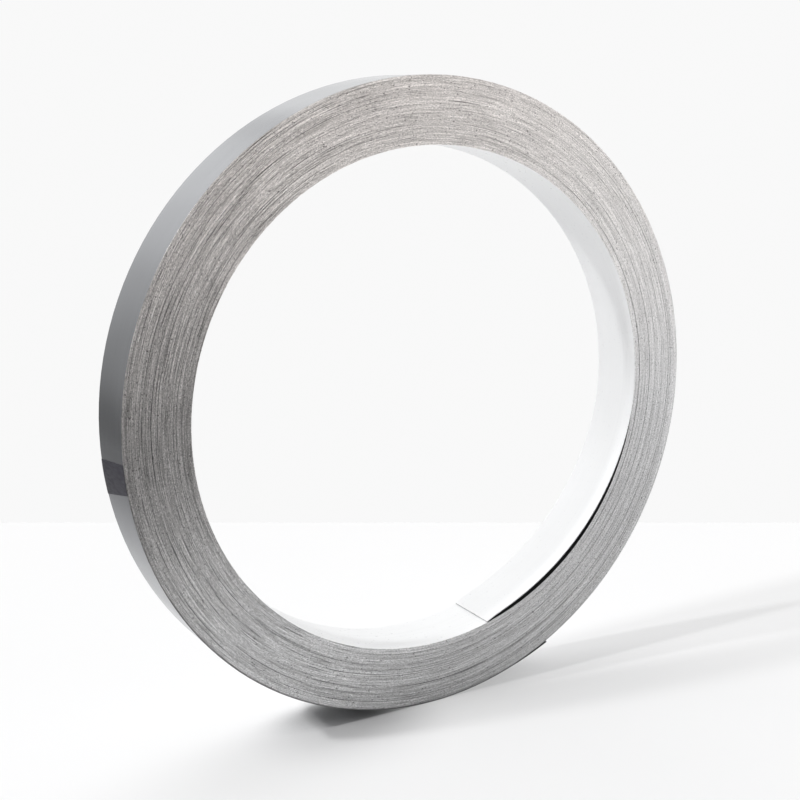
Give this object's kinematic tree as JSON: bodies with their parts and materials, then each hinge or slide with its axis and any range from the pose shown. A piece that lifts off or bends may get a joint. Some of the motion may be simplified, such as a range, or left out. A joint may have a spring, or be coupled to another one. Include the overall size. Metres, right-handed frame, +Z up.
{
  "type": "aluminium channel letter coil",
  "caption": "Flat aluminium strip wound into a wide thin-walled coil with an open bore and a coated inner face, unwound to bend the sides of channel letters.",
  "frame": {"origin": "centre of the bore, midway across the strip's width", "axes": "+Y along the bore axis from the front end to the back end, +Z up with the coil standing on its rim"},
  "size_m": [0.5114, 0.0506, 0.5119],
  "materials": {
    "strip": "bare slit edges on the ends, smooth mill-bright outer face, white coated inner face",
    "tape": "dark film adhesive tape, slightly glossy"
  },
  "bodies": {
    "root": {"strip_coil": "strip", "closing_tape": "tape"}
  },
  "joints": []
}
